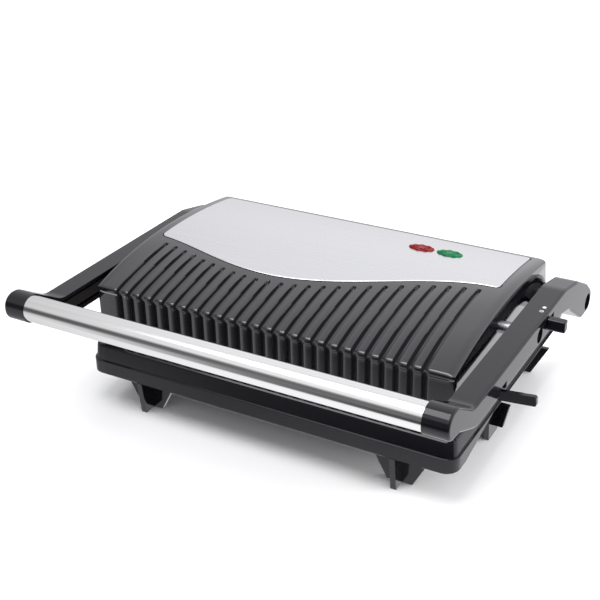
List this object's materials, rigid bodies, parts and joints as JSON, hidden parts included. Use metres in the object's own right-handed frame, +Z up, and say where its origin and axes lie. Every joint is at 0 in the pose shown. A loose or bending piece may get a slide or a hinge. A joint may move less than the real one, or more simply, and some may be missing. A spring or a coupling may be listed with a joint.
{
  "type": "panini press",
  "caption": "Electric contact grill with a ribbed lower plate on feet and a crowned, floating lid carried by two arms and a full-width handle tube.",
  "frame": {"origin": "centre of the overall box at floor level, under the feet", "axes": "+X to the right along the handle, +Y towards the hinge at the back, +Z up"},
  "size_m": [0.315, 0.2582, 0.1003],
  "materials": {
    "black_plastic": "gloss moulded",
    "inner_plastic": "matt heat-resistant moulding",
    "nonstick_aluminium": "die cast with dark non-stick coating",
    "heater_steel": "dull heat-toned steel",
    "reflector_steel": "plain pressed sheet",
    "fastener_steel": "zinc-plated",
    "brushed_steel": "fine brushed along the length",
    "red_lens": "clear faceted lens",
    "green_lens": "clear faceted lens"
  },
  "bodies": {
    "base": {"base_housing": "black_plastic", "base_pan": "black_plastic", "front_foot_left": "black_plastic", "front_foot_right": "black_plastic", "rear_foot_left": "black_plastic", "rear_foot_right": "black_plastic", "side_foot_left": "black_plastic", "side_foot_right": "black_plastic", "lower_grill_plate": "nonstick_aluminium", "lower_heating_element": "heater_steel", "lower_heat_shield": "reflector_steel", "thermostat": "heater_steel", "thermal_fuse": "heater_steel", "terminal_block": "inner_plastic", "cord_inlet": "black_plastic", "base_screws": "fastener_steel", "tray_rails": "black_plastic", "hinge_pin_left": "fastener_steel", "hinge_pin_right": "fastener_steel"},
    "arms": {"arm_left": "black_plastic", "arm_right": "black_plastic", "arm_strap_left": "heater_steel", "arm_strap_right": "heater_steel", "handle_tube": "brushed_steel", "handle_plug_left": "inner_plastic", "handle_plug_right": "inner_plastic", "handle_screw_left": "fastener_steel", "handle_screw_right": "fastener_steel", "lever_pin": "fastener_steel"},
    "lid": {"lid_shell": "black_plastic", "top_plate": "brushed_steel", "red_lamp": "red_lens", "green_lamp": "green_lens", "lamp_holder": "inner_plastic", "upper_grill_plate": "nonstick_aluminium", "upper_heating_element": "heater_steel", "upper_heat_shield": "reflector_steel", "lid_screws": "fastener_steel", "lid_pivot_left": "fastener_steel", "lid_pivot_right": "fastener_steel"},
    "lock": {"lock_knob": "black_plastic"},
    "lever": {"height_lever": "black_plastic"},
    "tray": {"drip_tray": "black_plastic"}
  },
  "joints": [
    {"name": "arm_hinge", "type": "hinge", "parent": "base", "child": "arms", "pos_m": [-0.00953, 0.11997, 0.0515], "axis": [-1, 0, 0], "range_deg": [0, 105]},
    {"name": "lid_float", "type": "hinge", "parent": "arms", "child": "lid", "pos_m": [-0.00953, 0.01447, 0.077], "axis": [1, 0, 0], "range_deg": [0, 8]},
    {"name": "lock_slide", "type": "slide", "parent": "arms", "child": "lock", "axis": [0, 1, 0], "range_m": [0, 0.0055]},
    {"name": "lever_turn", "type": "hinge", "parent": "arms", "child": "lever", "pos_m": [0.13047, -0.04453, 0.0664], "axis": [0, 0, -1], "range_deg": [0, 25]},
    {"name": "tray_slide", "type": "slide", "parent": "base", "child": "tray", "axis": [0, 1, 0], "range_m": [0, 0.06]}
  ],
  "couplings": [
    {"joint": "lid_float", "follows": "arm_hinge", "ratio": 0.07619}
  ]
}
